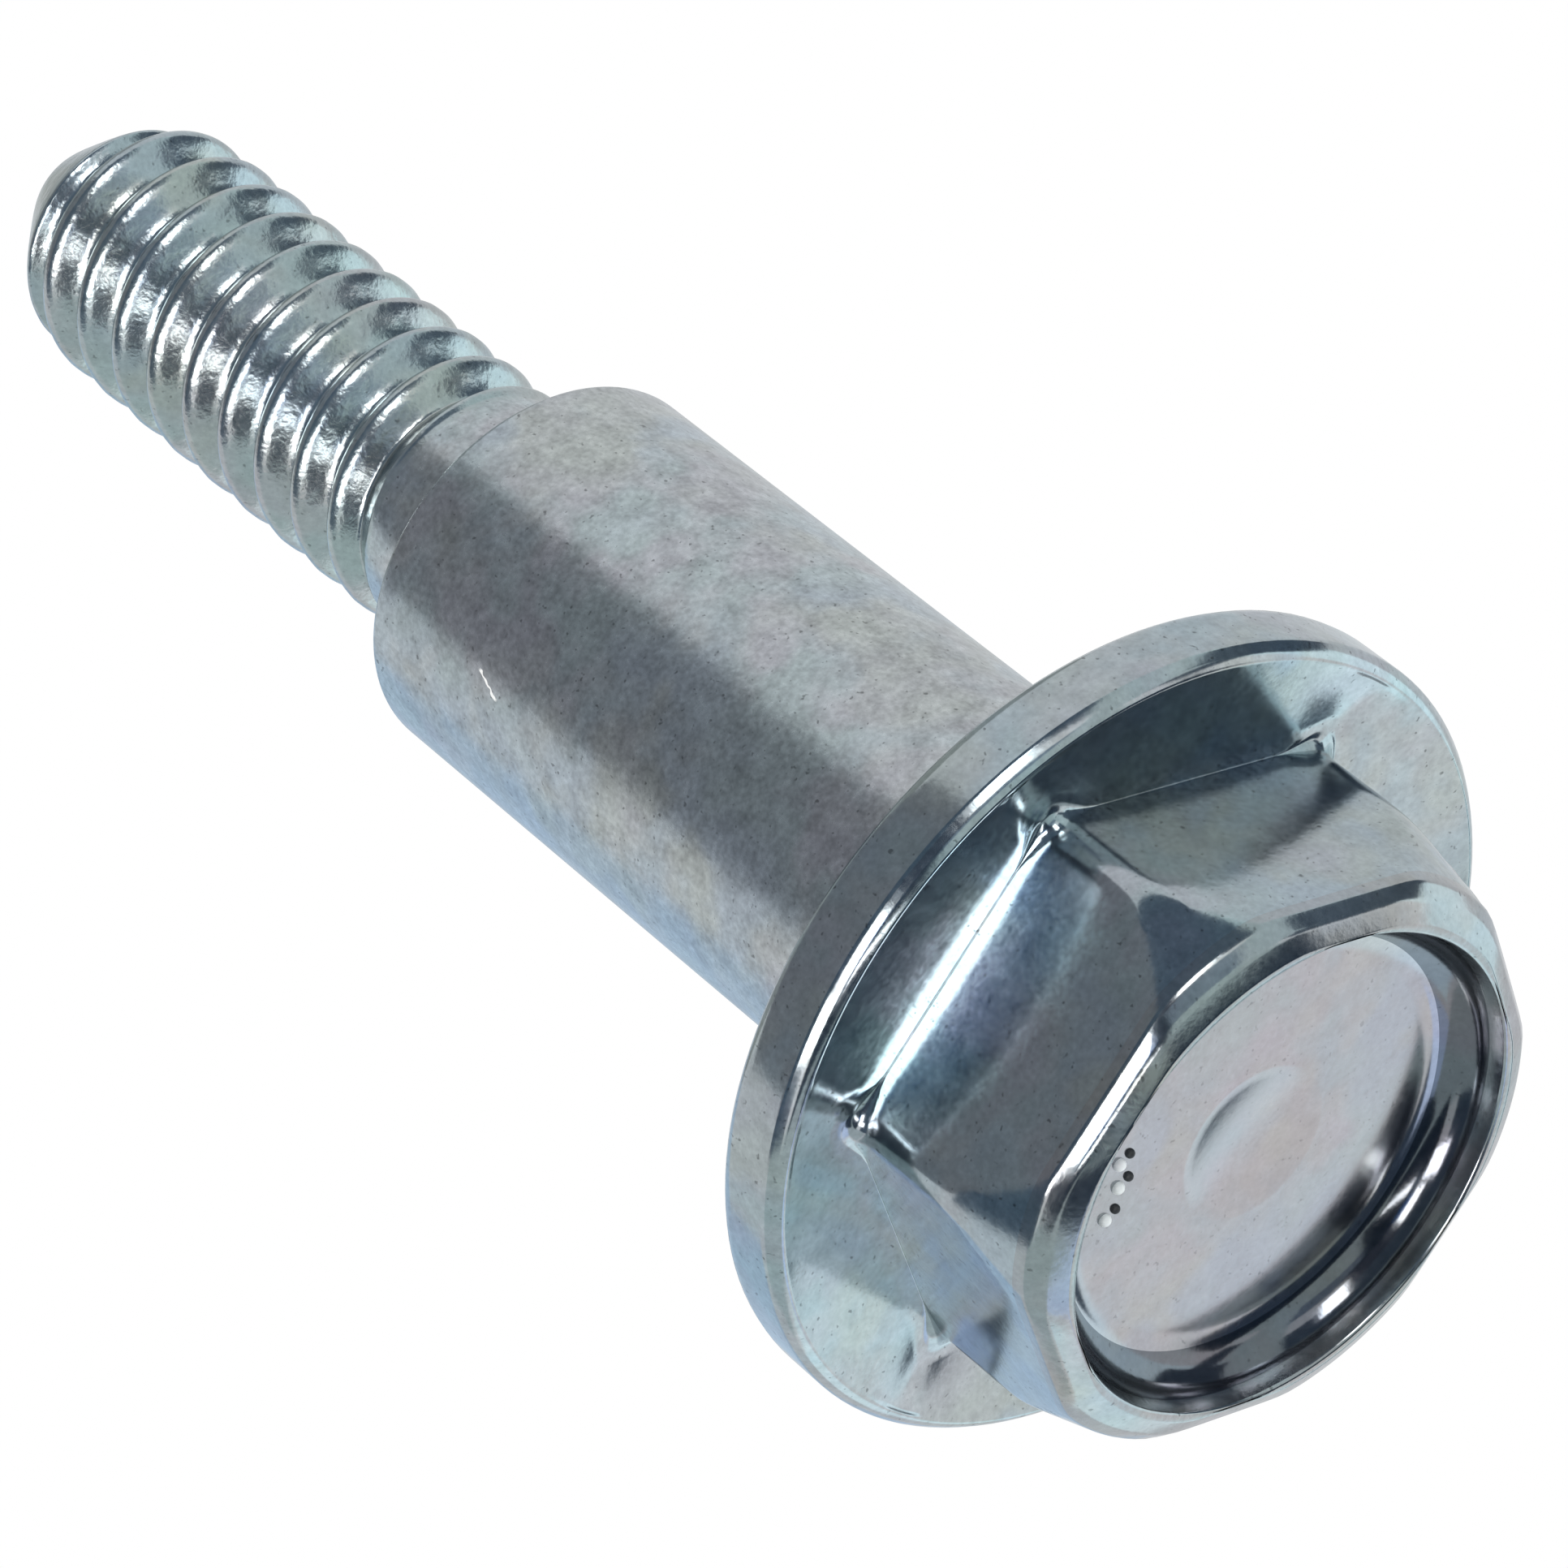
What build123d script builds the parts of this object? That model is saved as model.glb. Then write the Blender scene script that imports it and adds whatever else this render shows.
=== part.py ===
from build123d import *
import os
from math import ceil, cos, radians, sin, tan

# Shoulder bolt with an indented hexagon washer head, in millimetres. It is one piece of steel:
# cold headed, its shoulder sized, its thread rolled. It stands on its head, so the origin is
# the centre of the flat rim round the recess, and +Z runs up the axis to the threaded point.

# Hexagon
ACROSS_FLATS = 9.25
HEX_EDGE_ROUND = 0.6  # the upright edges, as the heading die leaves them
HEAD_HEIGHT = 4.93  # from the rim to the bearing face, flange and all

# Crown: the cone that takes the hexagon's corners down, and the broken edge of the rim
CROWN_INSET = 0.53  # from a hexagon edge in to where the cone meets the rim plane
CROWN_SLOPE = 74  # degrees from the rim plane
RIM_CHAMFER = 0.4

# Recess
RIM_WIDTH = 0.1  # the flat that the bolt stands on, at its narrowest
RECESS_DEPTH = 0.95
RECESS_WALL_SLOPE = 80  # degrees from the rim plane
RECESS_FLOOR_ROUND = 0.78
DIMPLE_RADIUS = 1.3  # the shallow mark of the punch's centre
DIMPLE_DEPTH = 0.06

# Flange
FLANGE_OVERHANG = 1.625  # beyond the hexagon's edges
FLANGE_EDGE = 1.3  # thickness at the outer edge
FLANGE_EDGE_CHAMFER = 0.3  # the broken edge on either side of it
FLANGE_DISH = 0.18  # how far its face is sunk round the foot of the hexagon
DISH_CLEARANCE = 0.1  # from the hollows at the hexagon's edges out to where the face rises again
HEX_ROOT_ROUND = 0.4  # the hollow where the flats sweep out into the flange

# Shoulder
SHOULDER_DIAMETER = 6.75
SHOULDER_LENGTH = 13.8
SHOULDER_CHAMFER = 0.12

# Neck and thread: 10-24 UNC
NECK_DIAMETER = 4.4
NECK_LENGTH = 1.85
THREAD_DIAMETER = 4.76
THREAD_PITCH = 25.4 / 24
THREAD_FLANK = 30  # degrees of each flank from square to the axis
THREAD_LENGTH = 12.05  # from the neck to the end of the point
THREAD_LEAD_SLOPE = 25  # degrees that the thread's crests rise out of the neck
POINT_SLOPE = 38  # degrees of the point's side from the axis
POINT_NOSE_RADIUS = 1.25

# A rolled thread is an eighth of the pitch wide at the crest and a sixth at the root.
CREST_FLAT = THREAD_PITCH / 8
ROOT_FLAT = THREAD_PITCH / 6
OVERLAP = 0.2  # how far pieces run on into each other before they are joined

flat_reach = ACROSS_FLATS / 2
corner_reach = (flat_reach - HEX_EDGE_ROUND) / cos(radians(30)) + HEX_EDGE_ROUND
crown_reach = corner_reach - CROWN_INSET
mouth_reach = flat_reach - RIM_CHAMFER - RIM_WIDTH
floor_reach = mouth_reach - RECESS_DEPTH / tan(radians(RECESS_WALL_SLOPE))

flange_reach = corner_reach + FLANGE_OVERHANG
flange_top = HEAD_HEIGHT - FLANGE_EDGE
shoulder_end = HEAD_HEIGHT + SHOULDER_LENGTH

neck_reach = NECK_DIAMETER / 2
neck_end = shoulder_end + NECK_LENGTH
thread_reach = THREAD_DIAMETER / 2
thread_depth = (THREAD_PITCH - CREST_FLAT - ROOT_FLAT) / 2 / tan(radians(THREAD_FLANK))
root_reach = thread_reach - thread_depth
point_end = neck_end + THREAD_LENGTH


def turned(outline):
    """A solid turned about the axis from a closed outline of radius and height."""
    return revolve(make_face(Plane.XZ * outline), Axis.Z)


def crown():
    """The cone that clips the hexagon's corners, turned up past the hexagon into the flange."""
    clear_reach = corner_reach + FLANGE_OVERHANG / 2
    cone_low = (clear_reach - crown_reach) * tan(radians(CROWN_SLOPE))
    top = max(cone_low, HEAD_HEIGHT) + OVERLAP
    return turned(Polyline((0, 0), (crown_reach, 0), (clear_reach, cone_low), (clear_reach, top), (0, top), close=True))


def hexagon_prism():
    """The hexagon with its upright edges rounded, from the rim up into the flange."""
    section = RegularPolygon(flat_reach, 6, major_radius=False)
    section = fillet(section.vertices(), HEX_EDGE_ROUND)
    below = Pos(0, 0, -OVERLAP)
    return below * extrude(section, HEAD_HEIGHT)


def recess():
    """What the punch takes out: steep wall, rounded floor and the dimple in its middle."""
    dimple = TangentArc((0, RECESS_DEPTH + DIMPLE_DEPTH), (DIMPLE_RADIUS, RECESS_DEPTH), tangent=(1, 0))
    wall = FilletPolyline(
        dimple @ 1, (floor_reach, RECESS_DEPTH), (mouth_reach, 0), (mouth_reach, -OVERLAP),
        radius=(RECESS_FLOOR_ROUND, 0),
    )
    return turned(dimple + wall + Polyline(wall @ 1, (0, -OVERLAP), dimple @ 0))


def crowned_hexagon():
    """The hexagon clipped by its crown and broken at the rim, before the recess is punched."""
    clipped = hexagon_prism() & crown()
    rim_edges = clipped.faces().sort_by(Axis.Z)[0].edges()
    return chamfer(rim_edges, RIM_CHAMFER)


def flange_and_shoulder():
    """Flange and shoulder turned as one, the flange's dish carried on inside the hexagon."""
    dish_reach = corner_reach + HEX_ROOT_ROUND + DISH_CLEARANCE
    edge_reach = flange_reach - FLANGE_EDGE_CHAMFER
    shoulder_reach = SHOULDER_DIAMETER / 2
    return turned(Polyline(
        (0, flange_top + FLANGE_DISH),
        (dish_reach, flange_top + FLANGE_DISH),
        (edge_reach, flange_top),
        (flange_reach, flange_top + FLANGE_EDGE_CHAMFER),
        (flange_reach, HEAD_HEIGHT - FLANGE_EDGE_CHAMFER),
        (edge_reach, HEAD_HEIGHT),
        (shoulder_reach, HEAD_HEIGHT),
        (shoulder_reach, shoulder_end - SHOULDER_CHAMFER),
        (shoulder_reach - SHOULDER_CHAMFER, shoulder_end),
        (0, shoulder_end),
        close=True,
    ))


def head_and_shoulder():
    """The hexagon swept out into the flange by a hollow round its foot, and the recess punched in."""
    hexagon = crowned_hexagon()
    turned_part = flange_and_shoulder()
    joined = hexagon + turned_part
    foot = new_edges(hexagon, turned_part, combined=joined)
    return fillet(foot, HEX_ROOT_ROUND) - recess()


def thread_envelope():
    """Neck, lead, crests and rounded point: what the finished thread stays inside."""
    start = shoulder_end - OVERLAP
    lead = (thread_reach - neck_reach) / tan(radians(THREAD_LEAD_SLOPE))
    slope = radians(POINT_SLOPE)
    nose_centre = point_end - POINT_NOSE_RADIUS
    nose_start = (POINT_NOSE_RADIUS * cos(slope), nose_centre + POINT_NOSE_RADIUS * sin(slope))
    cone_start = nose_start[1] - (thread_reach - nose_start[0]) / tan(slope)
    sides = Polyline(
        (0, start), (neck_reach, start), (neck_reach, neck_end), (thread_reach, neck_end + lead),
        (thread_reach, cone_start), nose_start,
    )
    nose = TangentArc(sides @ 1, (0, point_end), tangent=sides % 1)
    return turned(sides + nose + Line(nose @ 1, sides @ 0))


def thread_core():
    """The root cylinder of the thread, with the cone by which the grooves run out at the neck."""
    start = shoulder_end - 2 * OVERLAP
    blank_reach = thread_reach + OVERLAP
    end = point_end + OVERLAP
    runout = THREAD_PITCH * (blank_reach - root_reach) / (neck_reach - root_reach)
    cone_end = neck_end + THREAD_PITCH
    outline = Polyline(
        (0, start), (blank_reach, start), (blank_reach, cone_end - runout), (root_reach, cone_end),
        (root_reach, end), (0, end), close=True,
    )
    return turned(outline)


def thread_turns():
    """The right-hand ridge, one solid for each turn, sunk in the core and left sharp at the crest."""
    foot_reach = root_reach - OVERLAP / 2
    crest_reach = thread_reach + OVERLAP / 2
    flank = tan(radians(THREAD_FLANK))
    foot_half = CREST_FLAT / 2 + (thread_reach - foot_reach) * flank
    crest_half = CREST_FLAT / 2 - (crest_reach - thread_reach) * flank
    section = Polygon(
        (foot_reach, -foot_half), (crest_reach, -crest_half), (crest_reach, crest_half), (foot_reach, foot_half),
        align=None,
    )
    turn = sweep(Plane.XZ * section, Helix(THREAD_PITCH, THREAD_PITCH, root_reach), is_frenet=True)
    start = neck_end - THREAD_PITCH * 2 / 3
    count = ceil((point_end - start) / THREAD_PITCH)
    return [Pos(0, 0, start + number * THREAD_PITCH) * turn for number in range(count)]


def threaded_end():
    """The thread, which grows out of the neck and dies away on the rounded point."""
    return (thread_core() + thread_turns()) & thread_envelope()


bolt = head_and_shoulder() + threaded_end()
bolt.label = "shoulder_bolt"

os.makedirs("parts", exist_ok=True)
export_step(bolt, "parts/shoulder_bolt.step")
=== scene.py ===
import math

import bpy
from mathutils import Matrix, Vector


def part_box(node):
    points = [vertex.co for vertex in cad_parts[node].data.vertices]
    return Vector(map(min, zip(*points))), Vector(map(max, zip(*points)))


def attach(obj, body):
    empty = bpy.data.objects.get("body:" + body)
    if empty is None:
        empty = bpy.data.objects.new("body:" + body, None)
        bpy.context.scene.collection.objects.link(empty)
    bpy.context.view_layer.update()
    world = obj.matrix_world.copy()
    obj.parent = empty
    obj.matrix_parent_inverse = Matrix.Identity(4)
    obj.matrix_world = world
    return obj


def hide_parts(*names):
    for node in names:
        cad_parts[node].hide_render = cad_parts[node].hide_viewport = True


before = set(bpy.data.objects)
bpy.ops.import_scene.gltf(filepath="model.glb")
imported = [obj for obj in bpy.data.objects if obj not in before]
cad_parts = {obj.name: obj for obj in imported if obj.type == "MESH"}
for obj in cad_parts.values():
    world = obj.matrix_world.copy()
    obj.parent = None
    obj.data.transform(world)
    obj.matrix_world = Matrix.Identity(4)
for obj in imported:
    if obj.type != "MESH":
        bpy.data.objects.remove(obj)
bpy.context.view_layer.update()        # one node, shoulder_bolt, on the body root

# ---------------------------------------------------------------------------------------------
# The blank. The bolt starts as a length of steel wire, cut off and struck into shape. It stands
# on its head, with its axis on Z and its point up. Sizes are in millimetres, and each ring below
# is one line round the axis, given as a reach from the axis and a height for every direction.
# ---------------------------------------------------------------------------------------------

MM = 0.001
bolt_low, bolt_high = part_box("shoulder_bolt")
FLANGE_REACH = min(bolt_high.x, bolt_high.y, -bolt_low.x, -bolt_low.y) / MM
POINT_END = bolt_high.z / MM

rings = []  # each a list of (reach, height), one for every direction
finishes = []  # the finish of the band that ends at each ring


def ring(finish, reach, height):
    """Adds a ring. Reach and height are numbers, or functions of the direction in degrees."""
    rings.append([
        (reach(way) if callable(reach) else reach, height(way) if callable(height) else height)
        for way in directions
    ])
    finishes.append(finish)


def steps(first, last, count):
    """Count values from first to last, both included."""
    return [first + (last - first) * number / (count - 1) for number in range(count)]


def softer(first, second, blend):
    """The smaller of two lengths, with the corner between them rounded over about the blend."""
    return (first + second - math.hypot(first - second, blend)) / 2


# ---------------------------------------------------------------------------------------------
# The head: a hexagon washer head, struck cold in a closed die. The punch leaves the round recess
# with a dimple in its middle, the die the soft edges, the crowned corners and the hollow round
# the foot of the hexagon.
# ---------------------------------------------------------------------------------------------

FLAT_REACH = 4.625
EDGE_ROUND = 0.6
HEAD_HEIGHT = 4.93
RIM_STEPS = [(0.44, 0), (0.16, 0.16), (0, 0.37)]  # inset from the side, and height, at each corner
RIM_SOFTNESS = 0.05
RIM_RUN = 0.04  # how much of the rim's flat is laid out with its edge
CROWN_REACH = 4.718  # where the crown's cone would meet the rim plane
CROWN_SLOPE = 74  # degrees
CROWN_BLEND = 0.06
CROWN_END = 2.2  # height by which the crown has run out
MOUTH_REACH = 4.125
MOUTH_ROUND = 0.06
RECESS_WALL_SLOPE = 80  # degrees
WALL_TURN = 65.5  # degrees on the floor's round, 90 at the floor, where the wall band painted darker as painted shade starts
WALL_TURN_GAP = 2.5  # degrees either side of it that have no ring
FLOOR_ROUND = 0.78
RECESS_DEPTH = 0.95
DIMPLE_REACH = 1.3
DIMPLE_DEPTH = 0.06
DIMPLE_START = 0.02  # share of the dimple's reach at which its first ring lies
FOOT_ROUND = 0.012  # along the flats
FOOT_CORNER_ROUND = 0.36  # where a hexagon edge runs out into the flange
FOOT_CORNER_FAN = 9  # degrees either side of the edge over which it grows
FOOT_HEIGHT = 3.83
FOOT_LEDGE = 0.33  # how far the flange's face runs square from the flats before it rises
FACE_RISE = 0.66  # share of its rise that is straight, the rest being bowed
FLANGE_EDGE = [(0.22, 3.63), (0.11, 3.7), (0, 3.85)]  # inset, and height, at each corner
EDGE_SOFTNESS = 0.05
EDGE_RUN = 0.06  # how much of the face is laid out with the edge
BEARING_ROUND = 0.28

RINGS_IN_A_ROUND = 9
NEAR = 0.05  # from a round to the first ring of the plain stretch beside it
VERY_NEAR = 0.03  # the same, at the foot of the flats

EDGE_FAN = 4.2  # degrees either side of a hexagon edge that get close lines
FINE_STEPS = 8
WIDE_STEPS = 20

edge_fan = steps(-EDGE_FAN, EDGE_FAN, 2 * FINE_STEPS + 1)
flat_fan = steps(EDGE_FAN, 60 - EDGE_FAN, WIDE_STEPS + 1)[1:-1]
directions = [side * 60 + way for side in range(6) for way in edge_fan + flat_fan]


def hexagon(way):
    """Reach of the hexagon's side in a direction, its upright edges rounded."""
    off_edge = math.radians((way + 30) % 60 - 30)
    round_centre = (FLAT_REACH - EDGE_ROUND) / math.cos(math.radians(30))
    round_end = math.atan2(EDGE_ROUND / 2, round_centre + EDGE_ROUND * math.cos(math.radians(30)))
    if abs(off_edge) < round_end:
        across = round_centre * math.sin(off_edge)
        return round_centre * math.cos(off_edge) + math.sqrt(EDGE_ROUND ** 2 - across ** 2)
    return FLAT_REACH / math.cos(math.radians(30) - abs(off_edge))


def head_side(way, height):
    """Reach of the hexagon's side at a height, its corners taken down by the crown."""
    crown = CROWN_REACH + height / math.tan(math.radians(CROWN_SLOPE))
    return softer(hexagon(way), crown, CROWN_BLEND)


def arc(centre, radius, first, last, count=RINGS_IN_A_ROUND):
    """Points (reach, height) on an arc, by angle in degrees from the outward direction."""
    points = []
    for turn in steps(first, last, count):
        out = radius * math.cos(math.radians(turn))
        up = radius * math.sin(math.radians(turn))
        points.append((centre[0] + out, centre[1] + up))
    return points


def eased(corners, softness, count=5):
    """A line through these points with each corner between them rounded off."""
    line = [corners[0]]
    for before, corner, after in zip(corners, corners[1:], corners[2:]):
        reach = min(softness, math.dist(before, corner) / 2, math.dist(corner, after) / 2)
        start, end = (
            [
                here + (there - here) * reach / math.dist(corner, other)
                for here, there in zip(corner, other)
            ]
            for other in (before, after)
        )
        for part in steps(0, 1, count):
            line.append(tuple(
                leave * (1 - part) ** 2 + 2 * here * part * (1 - part) + join * part ** 2
                for leave, here, join in zip(start, corner, end)
            ))
    return line + [corners[-1]]


def recess_rings():
    """From the dimple out over the floor, up the steep wall and round the mouth."""
    for part in steps(DIMPLE_START, 1, RINGS_IN_A_ROUND):
        sag = DIMPLE_DEPTH * (1 - part ** 2)
        ring("recess", DIMPLE_REACH * part, RECESS_DEPTH + sag)
    wall = math.radians(RECESS_WALL_SLOPE)
    floor_reach = MOUTH_REACH - RECESS_DEPTH / math.tan(wall)
    centre = (floor_reach - FLOOR_ROUND * math.tan(wall / 2), RECESS_DEPTH - FLOOR_ROUND)
    for reach in steps(DIMPLE_REACH + NEAR, centre[0] - NEAR, 6):
        ring("recess", reach, RECESS_DEPTH)
    for reach, height in arc(centre, FLOOR_ROUND, 90, WALL_TURN + WALL_TURN_GAP, 5):
        ring("recess", reach, height)
    # From here on the wall band takes a base colour painted darker, as painted shade.
    wall_start = WALL_TURN - WALL_TURN_GAP
    for reach, height in arc(centre, FLOOR_ROUND, wall_start, 90 - RECESS_WALL_SLOPE, 12):
        ring("wall", reach, height)
    lip_centre = (MOUTH_REACH + MOUTH_ROUND * math.tan(wall / 2), MOUTH_ROUND)
    for reach, height in arc(lip_centre, MOUTH_ROUND, 270 - RECESS_WALL_SLOPE, 270, 5):
        ring("rim", reach, height)


def rim_and_flat_rings():
    """The rim's broken edge, the crown and the flats, down to where the hollow begins."""
    first_inset = RIM_STEPS[0][0] + RIM_RUN
    end = RIM_STEPS[-1][1] + 4 * NEAR
    for inset, height in eased([(first_inset, 0)] + RIM_STEPS + [(0, end)], RIM_SOFTNESS):
        ring("rim", lambda way: head_side(way, height) - inset, height)
    for height in steps(end + 2 * NEAR, CROWN_END, 16):
        ring("head", lambda way: head_side(way, height), height)


def foot_round(way):
    """Radius of the hollow round the foot: tight along the flats, open at the hexagon's edges."""
    off_edge = abs((way + 30) % 60 - 30)
    nearness = max(0, 1 - off_edge / FOOT_CORNER_FAN)
    return FOOT_ROUND + (FOOT_CORNER_ROUND - FOOT_ROUND) * nearness ** 2 * (3 - 2 * nearness)


def foot_rings():
    """The plain end of the flats, and the hollow between them and the flange."""
    start = CROWN_END + 4 * NEAR
    for part in steps(0, 1, 5):
        ring(
            "head", hexagon,
            lambda way: start + (FOOT_HEIGHT - foot_round(way) - VERY_NEAR - start) * part,
        )
    for turn in steps(180, 90, RINGS_IN_A_ROUND):
        out = 1 + math.cos(math.radians(turn))
        sunk = 1 - math.sin(math.radians(turn))
        ring(
            "head", lambda way: hexagon(way) + foot_round(way) * out,
            lambda way: FOOT_HEIGHT - foot_round(way) * sunk,
        )


def flange_rings():
    """The flange's dished face, its broken edge and the flat that bears on the work."""
    edge_inset, edge_height = FLANGE_EDGE[0]
    broadest = FLANGE_REACH - edge_inset - FLAT_REACH
    first = FOOT_ROUND + VERY_NEAR
    rise = FOOT_HEIGHT - edge_height
    for out in steps(first, broadest - 2 * NEAR, 18):
        def reach(way):
            start = hexagon(way) + foot_round(way) + VERY_NEAR
            return start + (out - first) * (FLANGE_REACH - edge_inset - start) / (broadest - first)

        part = max(0, (out - FOOT_LEDGE) / (broadest - FOOT_LEDGE))
        ring("head", reach, FOOT_HEIGHT - rise * part * (FACE_RISE + (1 - FACE_RISE) * part))
    face_slope = (2 - FACE_RISE) * rise / (broadest - FOOT_LEDGE)
    face_end = (edge_inset + EDGE_RUN, edge_height + EDGE_RUN * face_slope)
    side_end = (0, HEAD_HEIGHT - BEARING_ROUND - NEAR)
    for inset, height in eased([face_end] + FLANGE_EDGE + [side_end], EDGE_SOFTNESS):
        ring("head", FLANGE_REACH - inset, height)
    low_centre = (FLANGE_REACH - BEARING_ROUND, HEAD_HEIGHT - BEARING_ROUND)
    for reach, height in arc(low_centre, BEARING_ROUND, 0, 90, 5):
        ring("head", reach, height)


recess_rings()
rim_and_flat_rings()
foot_rings()
flange_rings()

# ---------------------------------------------------------------------------------------------
# The shoulder and the neck: the shoulder is sized to run in the hole of the part that turns on
# it, and the neck behind it is the plain wire that the thread rolls stop at.
# ---------------------------------------------------------------------------------------------

SHOULDER_REACH = 3.375
SHOULDER_END = 18.73
SHOULDER_FOOT_ROUND = 0.12
SHOULDER_EDGE_ROUND = 0.12
NECK_REACH = 2.2
NECK_END = 20.58
NECK_FOOT_ROUND = 0.15


def shoulder_rings():
    """The bearing flat, the shoulder and the step down to the neck."""
    foot = (SHOULDER_REACH + SHOULDER_FOOT_ROUND, HEAD_HEIGHT + SHOULDER_FOOT_ROUND)
    for reach in steps(FLANGE_REACH - BEARING_ROUND - 2 * NEAR, foot[0] + 2 * NEAR, 4):
        ring("head", reach, HEAD_HEIGHT)
    for reach, height in arc(foot, SHOULDER_FOOT_ROUND, 270, 180, 5):
        ring("shoulder", reach, height)
    edge = (SHOULDER_REACH - SHOULDER_EDGE_ROUND, SHOULDER_END - SHOULDER_EDGE_ROUND)
    for height in steps(foot[1] + 2 * NEAR, edge[1] - 2 * NEAR, 12):
        ring("shoulder", SHOULDER_REACH, height)
    for reach, height in arc(edge, SHOULDER_EDGE_ROUND, 0, 90):
        ring("shoulder", reach, height)
    neck_foot = (NECK_REACH + NECK_FOOT_ROUND, SHOULDER_END + NECK_FOOT_ROUND)
    for reach in steps(edge[0] - 2 * NEAR, neck_foot[0] + 2 * NEAR, 3):
        ring("shoulder", reach, SHOULDER_END)
    for reach, height in arc(neck_foot, NECK_FOOT_ROUND, 270, 180, 5):
        ring("shoulder", reach, height)
    for height in steps(neck_foot[1] + 2 * NEAR, NECK_END - 2 * NEAR, 5):
        ring("shoulder", NECK_REACH, height)


shoulder_rings()

# ---------------------------------------------------------------------------------------------
# The thread: 10-24 UNC, right-hand, rolled between flat dies, which push the metal up into the
# crests. It grows out of the neck over one turn and dies away on the rounded point.
# ---------------------------------------------------------------------------------------------

PITCH = 25.4 / 24
THREAD_REACH = 2.38
CREST_FLAT = PITCH / 5
ROOT_FLAT = PITCH / 6
FLANK = 30  # degrees of each flank from square to the axis
THREAD_BLEND = 0.22  # how softly the crests and roots are rounded
LEAD_SLOPE = 25  # degrees that the crests rise out of the neck
LEAD_BLEND = 0.05
POINT_SLOPE = 38  # degrees of the point's side from the axis
POINT_BLEND = 0.3
NOSE_RADIUS = 1.5
SKIN_BLEND = 0.04  # where the grooves are cut short by the lead, the blank and the point
ROWS_IN_A_PITCH = 24

thread_start = NECK_END - PITCH * 2 / 3
thread_depth = (PITCH - CREST_FLAT - ROOT_FLAT) / 2 / math.tan(math.radians(FLANK))
nose_centre = POINT_END - NOSE_RADIUS
nose_start = nose_centre + NOSE_RADIUS * math.sin(math.radians(POINT_SLOPE))


def groove_depth(way, height):
    """Depth of the thread's groove below its crest at a place on the bolt."""
    turns = (height - thread_start) / PITCH - way / 360
    off_crest = abs(turns - round(turns)) * PITCH
    down_flank = (off_crest - CREST_FLAT / 2) / math.tan(math.radians(FLANK))
    rounded = softer(down_flank, thread_depth, THREAD_BLEND)
    return -softer(-rounded, 0, THREAD_BLEND)


def blank_reach(height):
    """Reach of what the thread is rolled into: neck, lead, full size and cone of the point."""
    lead = NECK_REACH + (height - NECK_END) * math.tan(math.radians(LEAD_SLOPE))
    slope = math.radians(POINT_SLOPE)
    cone = NOSE_RADIUS * math.cos(slope) + (nose_start - height) * math.tan(slope)
    return softer(softer(max(lead, NECK_REACH), THREAD_REACH, LEAD_BLEND), cone, POINT_BLEND)


def thread_side(way, height):
    """Reach of the threaded end in a direction at a height."""
    run_in = NECK_REACH - thread_depth * (height - NECK_END) / PITCH
    grooved = max(THREAD_REACH - groove_depth(way, height), run_in)
    return softer(grooved, blank_reach(height), SKIN_BLEND)


def thread_rings():
    """The thread, row by row up the axis, and the nose that closes the point."""
    row = PITCH / ROWS_IN_A_PITCH
    for number in range(int((nose_start - NECK_END) / row)):
        height = NECK_END + number * row
        ring("thread", lambda way: thread_side(way, height), height)
    for nose, height in arc((0, nose_centre), NOSE_RADIUS, POINT_SLOPE, 89, 12):
        ring("thread", lambda way: softer(nose, thread_side(way, height), SKIN_BLEND / 2), height)


thread_rings()

# ---------------------------------------------------------------------------------------------
# The bolt in one piece: a closed skin drawn through all the rings, from the middle of the recess to the
# tip. Its bands differ in finish, as the die, the rolls and the plating barrel left them, save the
# recess's wall band, whose darker colour is painted shade.
# ---------------------------------------------------------------------------------------------

FINISH_ORDER = ["recess", "wall", "rim", "head", "shoulder", "thread"]


def bolt_mesh():
    """The closed skin, with the finish of each of its bands."""
    around = len(directions)
    points = [
        (MM * reach * math.cos(math.radians(way)), MM * reach * math.sin(math.radians(way)), MM * height)
        for one in rings for way, (reach, height) in zip(directions, one)
    ]
    recess_middle = len(points)
    points.append((0, 0, MM * (RECESS_DEPTH + DIMPLE_DEPTH)))
    tip = len(points)
    points.append((0, 0, MM * POINT_END))
    faces = []
    bands = []
    for number in range(around):
        beside = (number + 1) % around
        faces.append((recess_middle, beside, number))
        bands.append("recess")
        for level in range(len(rings) - 1):
            low = level * around
            faces.append((low + number, low + beside, low + around + beside, low + around + number))
            bands.append(finishes[level + 1])
        last = (len(rings) - 1) * around
        faces.append((last + number, last + beside, tip))
        bands.append("thread")
    mesh = bpy.data.meshes.new("shoulder_bolt_skin")
    mesh.from_pydata(points, [], faces)
    mesh.polygons.foreach_set("material_index", [FINISH_ORDER.index(band) for band in bands])
    mesh.polygons.foreach_set("use_smooth", [True] * len(faces))
    mesh.update()
    return mesh


bolt = bpy.data.objects.new("plated_shoulder_bolt", bolt_mesh())
bpy.context.scene.collection.objects.link(bolt)
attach(bolt, "root")
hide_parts("shoulder_bolt")

# ---------------------------------------------------------------------------------------------
# The plating: bright zinc with a clear blue passivate, barrel plated. It is satin, finely
# speckled, and drifts between blue, green, pink and straw as the passivate's thickness does.
# ---------------------------------------------------------------------------------------------


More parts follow.
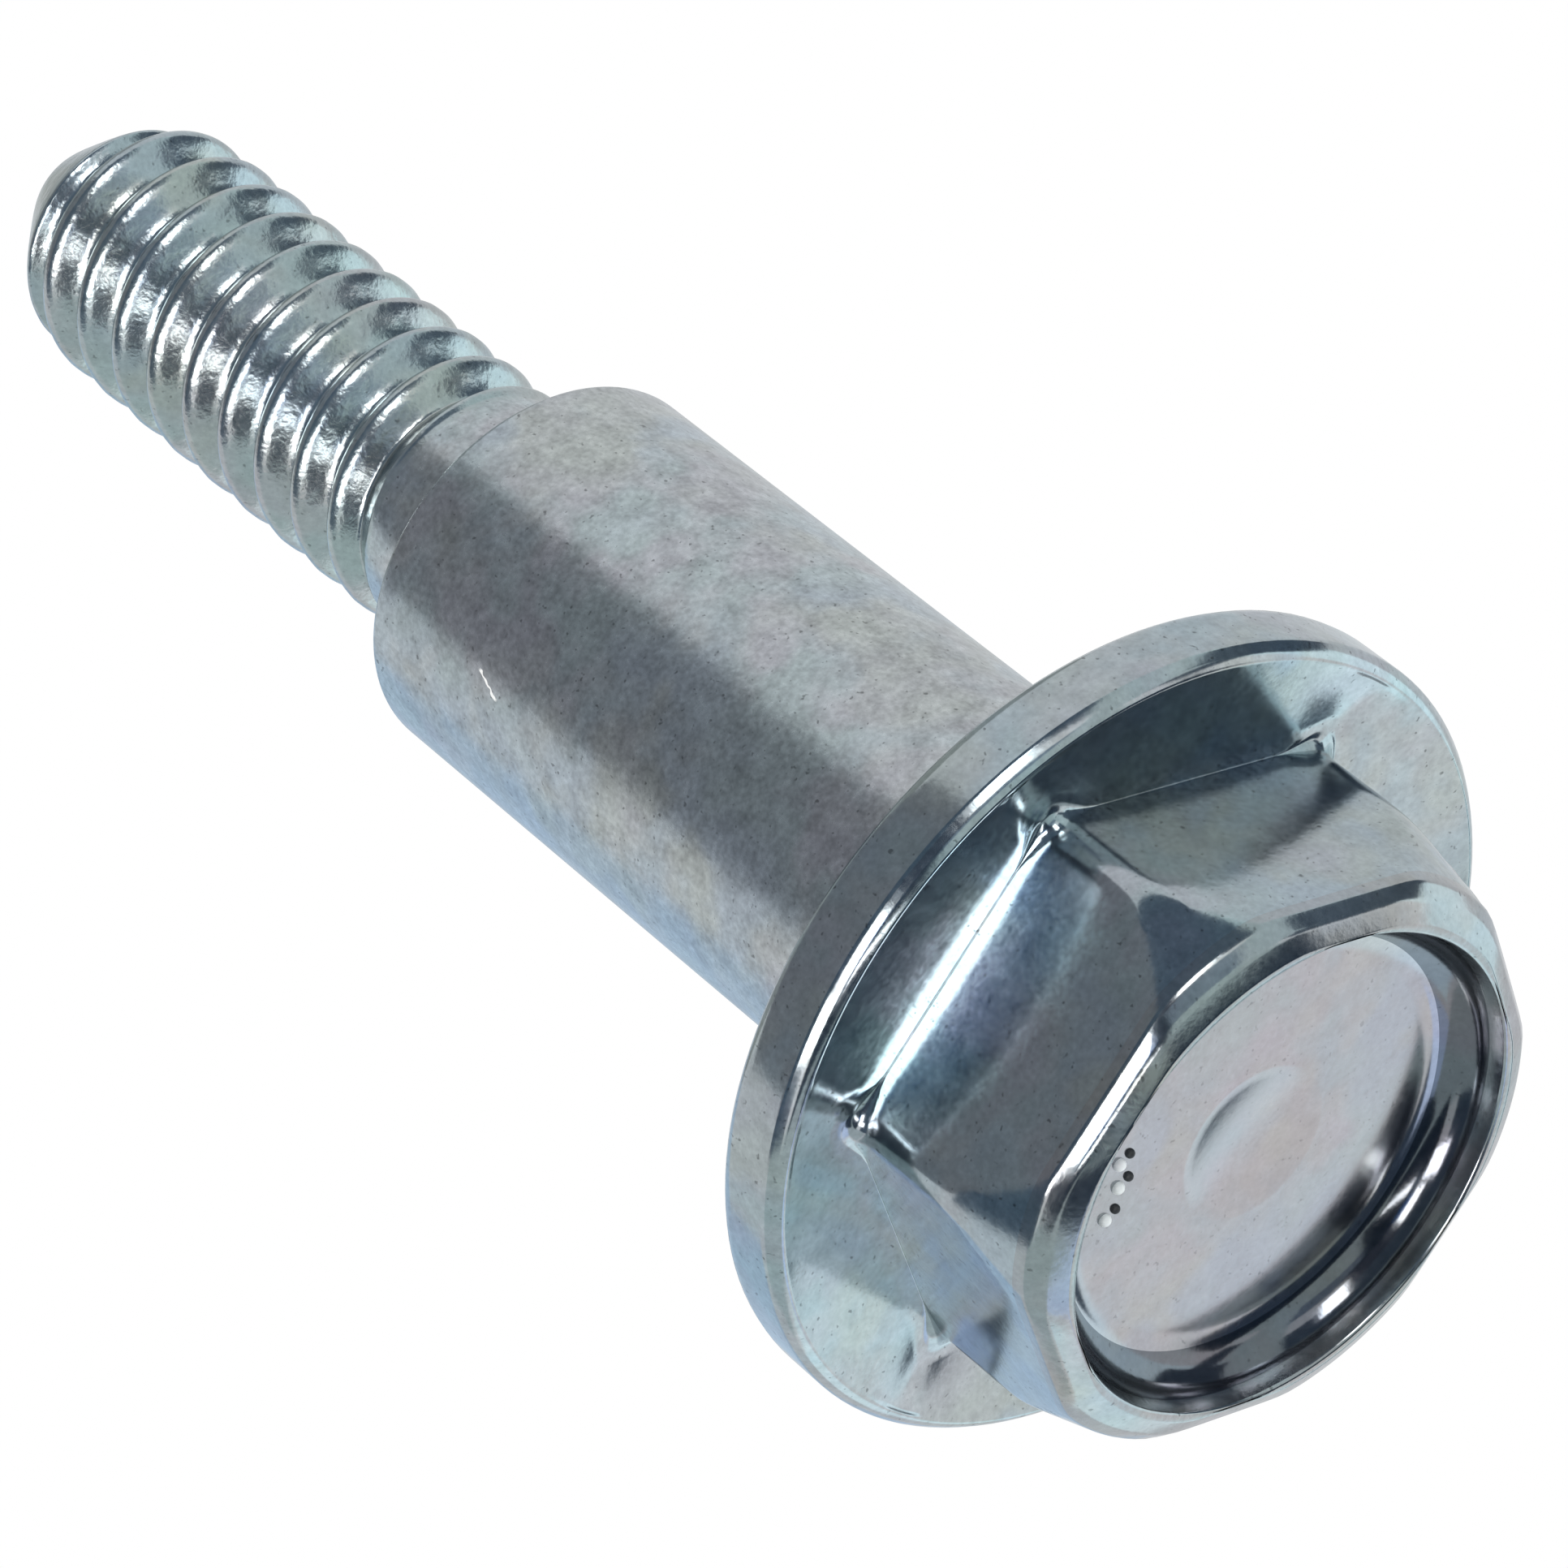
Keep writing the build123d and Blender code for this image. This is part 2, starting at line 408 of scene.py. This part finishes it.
class Wire:
    """A socket in a shader. Sums and products of wires add the Math nodes that work them out."""

    def __init__(self, tree, socket=None):
        self.tree = tree
        self.socket = socket

    def node(self, kind, settings, sockets, output=0):
        """A node of any kind: its settings first, then its sockets as values or wires."""
        made = self.tree.nodes.new(kind)
        for name, value in settings.items():
            if name == "stops":
                ramp = made.color_ramp
                while len(ramp.elements) < len(value):
                    ramp.elements.new(0.5)
                for element, (place, colour) in zip(ramp.elements, value):
                    element.position = place
                    element.color = (*colour, 1)
            else:
                setattr(made, name, value)
        for name, value in sockets.items():
            if isinstance(value, Wire):
                self.tree.links.new(value.socket, made.inputs[name])
            else:
                made.inputs[name].default_value = value
        return Wire(self.tree, made.outputs[output] if made.outputs else None)

    def math(self, operation, *values):
        return self.node("ShaderNodeMath", {"operation": operation}, dict(enumerate(values or [self])))

    def __add__(self, other):
        return self.math("ADD", self, other)

    def __sub__(self, other):
        return self.math("SUBTRACT", self, other)

    def __rsub__(self, other):
        return self.math("SUBTRACT", other, self)

    def __mul__(self, other):
        return self.math("MULTIPLY", self, other)

    __radd__ = __add__
    __rmul__ = __mul__

    def above(self, low, high):
        """0 under low, 1 over high, and a smooth rise between them."""
        settings = {"interpolation_type": "SMOOTHSTEP"}
        sockets = {"Value": self, "From Min": low, "From Max": high}
        return self.node("ShaderNodeMapRange", settings, sockets)

    def tint(self, first, second):
        """Goes from the first colour to the second as this wire goes from 0 to 1."""
        return self.node("ShaderNodeMix", {"data_type": "RGBA"}, {0: self, 6: first, 7: second}, 2)


def colour(red, green, blue):
    return (red, green, blue, 1)


def noise(place, size, detail, seed):
    """A cloudy pattern from 0 to 1 whose blotches are about this many millimetres across."""
    settings = {"noise_dimensions": "4D"}
    sockets = {"Vector": place, "W": seed, "Scale": 1 / (size * MM), "Detail": detail}
    return place.node("ShaderNodeTexNoise", settings, sockets)


# A short nick on the shoulder, its glint painted in as a white mark: a painted highlight.
SCUFF_GLINT_MIDDLE = (-0.315 * MM, 15.69 * MM)  # across and up the side of the shoulder that faces -X
SCUFF_GLINT_LEAN = math.radians(27)  # from the axis
SCUFF_GLINT_SIZE = (0.03 * MM, 0.33 * MM)  # half its width and half its length
SCUFF_GLINT_WANDER = 0.12 * MM


def scuff_glint(place):
    """1 on a short nick on the shoulder, whose glint is painted in as a flat white highlight, 0 off it.
    """
    x, y, z = (place.node("ShaderNodeSeparateXYZ", {}, {0: place}, axis) for axis in range(3))
    across = y - SCUFF_GLINT_MIDDLE[0]
    up = z - SCUFF_GLINT_MIDDLE[1]
    wander = (noise(place, size=0.12, detail=1, seed=6) - 0.5) * SCUFF_GLINT_WANDER
    off_line = (across * math.cos(SCUFF_GLINT_LEAN) + up * math.sin(SCUFF_GLINT_LEAN) + wander).math("ABSOLUTE")
    along = (up * math.cos(SCUFF_GLINT_LEAN) - across * math.sin(SCUFF_GLINT_LEAN)).math("ABSOLUTE")
    width, length = SCUFF_GLINT_SIZE
    this_side = 1 - x.above(-0.1 * MM, 0)
    return (1 - off_line.above(width / 2, width)) * (1 - along.above(length * 0.8, length)) * this_side


ROUGHNESS_SPREAD = 0.06
BUMP_DEPTH = 0.03 * MM


def zinc(name, base, roughness, mottling, speckling, unevenness, metallic=1, with_scuff_glint=False):
    """Zinc plate of a base colour and roughness, as mottled, as specked and as uneven as told."""
    def tinted(red, green, blue):
        return colour(base[0] * red, base[1] * green, base[2] * blue)

    material = bpy.data.materials.new("zinc_" + name)
    material.use_nodes = True
    tree = material.node_tree
    shader = tree.nodes["Principled BSDF"]
    start = Wire(tree)
    place = start.node("ShaderNodeTexCoord", {}, {}, "Object")
    drift = noise(place, size=2.2, detail=2, seed=1).above(0.35, 0.65)
    warmth = noise(place, size=1.5, detail=2, seed=5).above(0.4, 0.6)
    grain = noise(place, size=0.1, detail=2, seed=2)
    cloud = noise(place, size=0.4, detail=3, seed=3)
    speck = noise(place, size=0.1, detail=1, seed=4).above(0.66, 0.76)
    blue_to_green = drift.tint(tinted(0.955, 0.99, 1.045), tinted(0.965, 1.02, 1.0))
    straw_to_pink = drift.tint(tinted(1.03, 1.015, 0.95), tinted(1.035, 0.975, 1.0))
    film = warmth.tint(blue_to_green, straw_to_pink)
    shade = (grain * mottling + cloud * mottling + (1 - mottling)) * (1 - speck * speckling)
    grey = start.node("ShaderNodeCombineColor", {}, {0: shade, 1: shade, 2: shade})
    multiply = {"data_type": "RGBA", "blend_type": "MULTIPLY"}
    base_colour = start.node("ShaderNodeMix", multiply, {0: 1.0, 6: film, 7: grey}, 2)
    rough = (grain + cloud) * ROUGHNESS_SPREAD + (roughness - ROUGHNESS_SPREAD)
    relief = {"Strength": unevenness, "Distance": BUMP_DEPTH, "Height": grain * 0.5 + cloud}
    bump = start.node("ShaderNodeBump", {}, relief)
    # Flat white and not metal on the nick: a painted highlight in place of its glint.
    if with_scuff_glint:
        scuff_glint_mask = scuff_glint(place)
        base_colour = scuff_glint_mask.tint(base_colour, colour(0.95, 0.96, 0.95))
        tree.links.new((1 - scuff_glint_mask).socket, shader.inputs["Metallic"])
    tree.links.new(base_colour.socket, shader.inputs["Base Color"])
    tree.links.new(rough.socket, shader.inputs["Roughness"])
    tree.links.new(bump.socket, shader.inputs["Normal"])
    shader.inputs["Metallic"].default_value = metallic
    return material


# In the order of FINISH_ORDER
for each in (
    zinc("recess", (0.425, 0.42, 0.445), 0.14, 0.25, 0.25, 0.03),
    # The recess wall's dark base colour is painted shade: the wall's dark reflection painted in, not a
    # darker plating.
    zinc("wall", (0.17, 0.18, 0.2), 0.12, 0.3, 0.3, 0.05),
    zinc("rim", (0.4, 0.42, 0.43), 0.16, 0.4, 0.4, 0.1),
    zinc("head", (0.42, 0.475, 0.5), 0.15, 0.5, 0.5, 0.06),
    zinc("shoulder", (0.46, 0.495, 0.51), 0.26, 0.85, 0.5, 0.12, with_scuff_glint=True),
    zinc("thread", (0.45, 0.495, 0.5), 0.22, 0.4, 0.4, 0.45),
):
    bolt.data.materials.append(each)

# ---------------------------------------------------------------------------------------------
# The flecks: three small white beads on the floor of the recess, near its wall, each with a dark dot
# beside it. The beads' white is a painted highlight, flat white in place of their glints, and each dark
# dot is a low dome painted near black as painted shade.
# ---------------------------------------------------------------------------------------------

BEAD_PLACES = [(2.76, 188.5), (2.65, 179.5), (2.83, 168.5)]  # reach, and direction in degrees
BEAD_RADIUS = 0.11
SHADE_DOT_RADIUS = 0.08
SHADE_DOT_OFFSET = (0.17, -0.15)  # from each bead, along X and Y
FLECK_TURNS = (88, -20)  # degrees over the floor of a dome's top ring, and of its sunken one
FLECK_LEVELS = 7
FLECK_SIDES = 16


def flecks(name, places, radius, finish):
    """Low round domes of one finish, each sunk in the recess's floor at one of these places."""
    points = []
    faces = []
    for middle_x, middle_y in places:
        first = len(points)
        for turn in steps(*FLECK_TURNS, FLECK_LEVELS):
            out = radius * math.cos(math.radians(turn))
            height = RECESS_DEPTH - radius * math.sin(math.radians(turn))
            for side in steps(0, 360, FLECK_SIDES + 1)[:-1]:
                x = middle_x + out * math.cos(math.radians(side))
                y = middle_y + out * math.sin(math.radians(side))
                points.append((MM * x, MM * y, MM * height))
        for side in range(FLECK_SIDES):
            beside = (side + 1) % FLECK_SIDES
            for level in range(FLECK_LEVELS - 1):
                top = first + level * FLECK_SIDES
                under = top + FLECK_SIDES
                faces.append((top + side, top + beside, under + beside, under + side))
        faces.append(tuple(first + side for side in reversed(range(FLECK_SIDES))))
    mesh = bpy.data.meshes.new(name)
    mesh.from_pydata(points, [], faces)
    mesh.polygons.foreach_set("use_smooth", [True] * len(faces))
    mesh.update()
    mesh.materials.append(finish)
    made = bpy.data.objects.new(name, mesh)
    bpy.context.scene.collection.objects.link(made)
    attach(made, "root")
    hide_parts("shoulder_bolt")


bead_middles = [
    (reach * math.cos(math.radians(way)), reach * math.sin(math.radians(way)))
    for reach, way in BEAD_PLACES
]
shade_dot_middles = [(x + SHADE_DOT_OFFSET[0], y + SHADE_DOT_OFFSET[1]) for x, y in bead_middles]
# Flat white and not metal: a painted highlight standing for the beads' glints.
white_painted_glint = zinc("beads", (0.93, 0.94, 0.95), 0.3, 0, 0, 0.05, metallic=0)
# Near black: painted shade, the dark dots beside the beads.
black_painted_shade = zinc("holes", (0.02, 0.022, 0.025), 0.5, 0, 0, 0.05, metallic=0)
flecks("painted_glint_beads", bead_middles, BEAD_RADIUS, white_painted_glint)
flecks("painted_shade_dots", shade_dot_middles, SHADE_DOT_RADIUS, black_painted_shade)

# ---------------------------------------------------------------------------------------------
# The studio: a pale floor, which shows only from above, a white surround, and cards and lamps
# for the plating to mirror. Each card fills a stretch of azimuth and elevation round the bolt.
# ---------------------------------------------------------------------------------------------

bpy.context.scene.view_settings.view_transform = "Standard"

CARD_COLUMNS = 24
CARD_ROWS = 16
middle = (bolt_low + bolt_high) / 2
room = (bolt_high - bolt_low).length


def way_to(azimuth, elevation):
    """The direction out from the bolt at an azimuth from +X and an elevation over the floor."""
    turn = math.radians(azimuth)
    rise = math.radians(elevation)
    return Vector((math.cos(turn) * math.cos(rise), math.sin(turn) * math.cos(rise), math.sin(rise)))


def shadeless(name, brightness):
    """A plain emitting surface, for cards that only reflections show."""
    material = bpy.data.materials.new(name)
    material.use_nodes = True
    tree = material.node_tree
    tree.nodes.clear()
    start = Wire(tree)
    light = start.node("ShaderNodeEmission", {}, {"Color": colour(*brightness), "Strength": 1.0})
    start.node("ShaderNodeOutputMaterial", {}, {"Surface": light})
    return material


def card(name, brightness, azimuths, elevations, distance):
    """A curved card that fills a stretch of azimuth and elevation as the bolt sees it."""
    across = steps(*azimuths, CARD_COLUMNS + 1)
    up = steps(*elevations, CARD_ROWS + 1)
    points = [middle + way_to(azimuth, elevation) * distance for elevation in up for azimuth in across]
    faces = []
    for row in range(CARD_ROWS):
        for column in range(CARD_COLUMNS):
            corner = row * len(across) + column
            faces.append((corner, corner + 1, corner + 1 + len(across), corner + len(across)))
    mesh = bpy.data.meshes.new(name)
    mesh.from_pydata(points, [], faces)
    mesh.materials.append(shadeless(name, brightness))
    made = bpy.data.objects.new(name, mesh)
    bpy.context.scene.collection.objects.link(made)
    made.visible_camera = False
    made.visible_shadow = False
    made.visible_diffuse = False


card("black_card_high", (0.225, 0.24, 0.265), (154, 241), (14, 86), room * 40)
card("black_card_low", (0.09, 0.13, 0.18), (145, 278), (-29, 15), room * 40)
card("black_card_right", (0.07, 0.1, 0.14), (307, 340), (-29, 5), room * 40)
card("black_card_side", (0.07, 0.1, 0.14), (313, 327), (-50, -28), room * 41)
card("pale_card_right", (0.66, 0.76, 0.77), (278, 312), (-60, 15), room * 42)
card("pale_card_left", (0.58, 0.66, 0.67), (95, 145), (-66, -5), room * 42)
card("black_card_near", (0.06, 0.08, 0.12), (207, 243), (-50, -28), room * 39)
card("blue_card_near", (0.06, 0.3, 0.85), (191, 206), (-47, -43), room * 38)
card("blue_card_dim", (0.03, 0.12, 0.32), (191, 206), (-51, -47), room * 38)
card("grey_card_near", (0.28, 0.35, 0.43), (174, 280), (-60, -45), room * 40)
card("black_card_left", (0.03, 0.05, 0.08), (138, 180), (-80, -42), room * 39)
card("black_card_under", (0.03, 0.05, 0.08), (192, 230), (-88, -46), room * 39)
card("black_card_behind", (0.03, 0.05, 0.08), (-30, 130), (-89.9, -60), room * 41)
card("black_card_floor", (0.03, 0.05, 0.08), (-30, 60), (-60, -48), room * 41)
card("pale_card_under", (0.62, 0.72, 0.72), (0, 360), (-89.9, -57), room * 46)
card("black_card_far", (0.03, 0.06, 0.1), (24, 46), (-27, -16), room * 40)
card("blue_card_left", (0.58, 0.72, 0.88), (55, 110), (15, 60), room * 44)
card("blue_card_low", (0.85, 1.0, 1.3), (60, 95), (-60, -38), room * 44)
card("pale_card_far", (1.15, 1.35, 1.4), (-50, 90), (-33, -5), room * 45)
card("grey_card_top", (0.38, 0.41, 0.41), (0, 360), (60, 89.9), room * 43)
card("grey_card_over", (0.78, 0.8, 0.82), (0, 360), (-5, 89.9), room * 50)
card("lamp_card_left", (8, 8, 8), (188, 207), (-43, -31), room * 35)
card("lamp_card_right", (8, 8, 8), (243, 258), (-40, -16), room * 35)
card("lamp_card_round", (8, 8, 8), (168, 183), (-42, -20), room * 35)
card("lamp_card_low", (7, 7, 7), (181, 190), (-79, -54), room * 35)

half = room * 40
level = -0.05 * MM  # just under the rim that the bolt stands on
floor_corners = [(-half, -half, level), (half, -half, level), (half, half, level), (-half, half, level)]
floor_mesh = bpy.data.meshes.new("floor")
floor_mesh.from_pydata(floor_corners, [], [(0, 1, 2, 3)])
floor = bpy.data.objects.new("floor", floor_mesh)
bpy.context.scene.collection.objects.link(floor)
floor.visible_glossy = False
floor.visible_diffuse = False
floor.visible_shadow = False
floor.visible_transmission = False
floor_material = bpy.data.materials.new("pale_floor")
floor_material.use_nodes = True
floor_tree = floor_material.node_tree
floor_tree.nodes.clear()
start = Wire(floor_tree)
paper = start.node("ShaderNodeBsdfDiffuse", {}, {"Color": colour(0.9, 0.9, 0.9)})
clear = start.node("ShaderNodeBsdfTransparent", {}, {})
under = start.node("ShaderNodeNewGeometry", {}, {}, "Backfacing")
both = start.node("ShaderNodeMixShader", {}, {0: under, 1: paper, 2: clear})
start.node("ShaderNodeOutputMaterial", {}, {"Surface": both})
floor_mesh.materials.append(floor_material)

world = bpy.data.worlds.new("white_surround")
bpy.context.scene.world = world
world.use_nodes = True
world.node_tree.nodes["Background"].inputs["Color"].default_value = colour(1, 1, 1)
world.node_tree.nodes["Background"].inputs["Strength"].default_value = 1

VIEW_AZIMUTH = 220.503
VIEW_ELEVATION = -38.42
VIEW_ROLL = -51.04
VIEW_DISTANCE = 116.957 * MM
AIM = Vector((1.437, 1.532, 13.683)) * MM

camera_data = bpy.data.cameras.new("camera")
camera_data.sensor_width = 36
camera_data.lens = 167.7
camera_data.clip_start = 0.01
camera_data.clip_end = 10
camera = bpy.data.objects.new("camera", camera_data)
bpy.context.scene.collection.objects.link(camera)
bpy.context.scene.camera = camera
away = way_to(VIEW_AZIMUTH, VIEW_ELEVATION)
roll = Matrix.Rotation(math.radians(VIEW_ROLL), 4, "Z").to_quaternion()
camera.rotation_mode = "QUATERNION"
camera.rotation_quaternion = away.to_track_quat("Z", "Y") @ roll
camera.location = AIM + away * VIEW_DISTANCE
